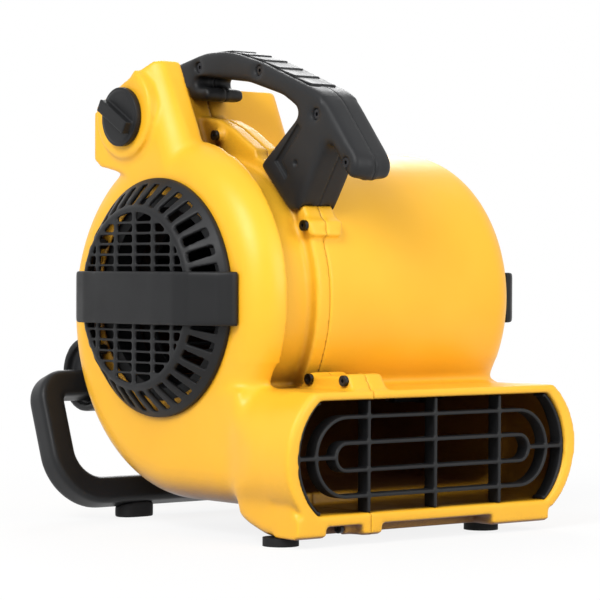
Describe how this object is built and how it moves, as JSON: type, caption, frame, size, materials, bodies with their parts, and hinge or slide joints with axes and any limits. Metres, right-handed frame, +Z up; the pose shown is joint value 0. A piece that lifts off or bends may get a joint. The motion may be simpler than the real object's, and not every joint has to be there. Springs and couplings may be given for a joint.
{
  "type": "compact air mover",
  "caption": "Small centrifugal floor blower: scroll housing with an inlet grille on each side, low wide outlet, hooked carry handle, speed knob and folding rear stand.",
  "frame": {"origin": "on the floor, under the middle of the whole object's box", "axes": "+Z up, -Y out of the outlet, -X towards the side with the speed knob, the impeller turns about X"},
  "size_m": [0.3008, 0.312, 0.3329],
  "materials": {
    "housing_plastic": "satin moulded plastic, warm yellow",
    "black_plastic": "fine-grained black moulded plastic",
    "soft_rubber": "soft black rubber",
    "plated_steel": "zinc plated",
    "motor_iron": "stacked sheet steel",
    "cast_aluminium": "as cast",
    "coated_steel": "black powder coat",
    "lead_sheath": "soft sleeving"
  },
  "bodies": {
    "housing": {"left_shell": "housing_plastic", "right_shell": "housing_plastic", "left_inlet_grille": "black_plastic", "right_inlet_grille": "black_plastic", "left_band": "black_plastic", "right_band": "black_plastic", "left_inlet_ring": "black_plastic", "right_inlet_ring": "black_plastic", "outlet_grille": "black_plastic", "handle_left_half": "black_plastic", "handle_right_half": "black_plastic", "grip_pad": "soft_rubber", "handle_screws": "plated_steel", "shell_screws": "plated_steel", "grille_screws": "plated_steel", "rotary_switch": "black_plastic", "switch_nut": "plated_steel", "cord_gland": "soft_rubber", "motor_stator": "motor_iron", "motor_front_bell": "cast_aluminium", "motor_rear_bell": "cast_aluminium", "front_bearing": "plated_steel", "rear_bearing": "plated_steel", "motor_bracket": "coated_steel", "motor_bolts": "plated_steel", "bracket_grommets": "soft_rubber", "run_capacitor": "black_plastic", "capacitor_clip": "plated_steel", "left_pivot_bolt": "plated_steel", "right_pivot_bolt": "plated_steel", "detent_washers": "plated_steel", "front_feet": "soft_rubber", "foot_screws": "plated_steel", "motor_leads": "lead_sheath"},
    "rotor": {"impeller": "black_plastic", "impeller_set_screw": "plated_steel", "motor_shaft": "plated_steel", "rotor_core": "motor_iron"},
    "knob": {"speed_knob": "black_plastic", "knob_shaft": "plated_steel"},
    "stand": {"stand_bail": "coated_steel", "stand_pads": "soft_rubber"}
  },
  "joints": [
    {"name": "impeller_spin", "type": "hinge", "parent": "housing", "child": "rotor", "pos_m": [0, -0.0065, 0.161], "axis": [1, 0, 0], "continuous": true},
    {"name": "speed_knob_turn", "type": "hinge", "parent": "housing", "child": "knob", "pos_m": [-0.1278, 0.0285, 0.286], "axis": [1, 0, 0], "range_deg": [0, 135]},
    {"name": "stand_fold", "type": "hinge", "parent": "housing", "child": "stand", "pos_m": [0, 0.129, 0.103], "axis": [1, 0, 0], "range_deg": [0, 100]}
  ]
}
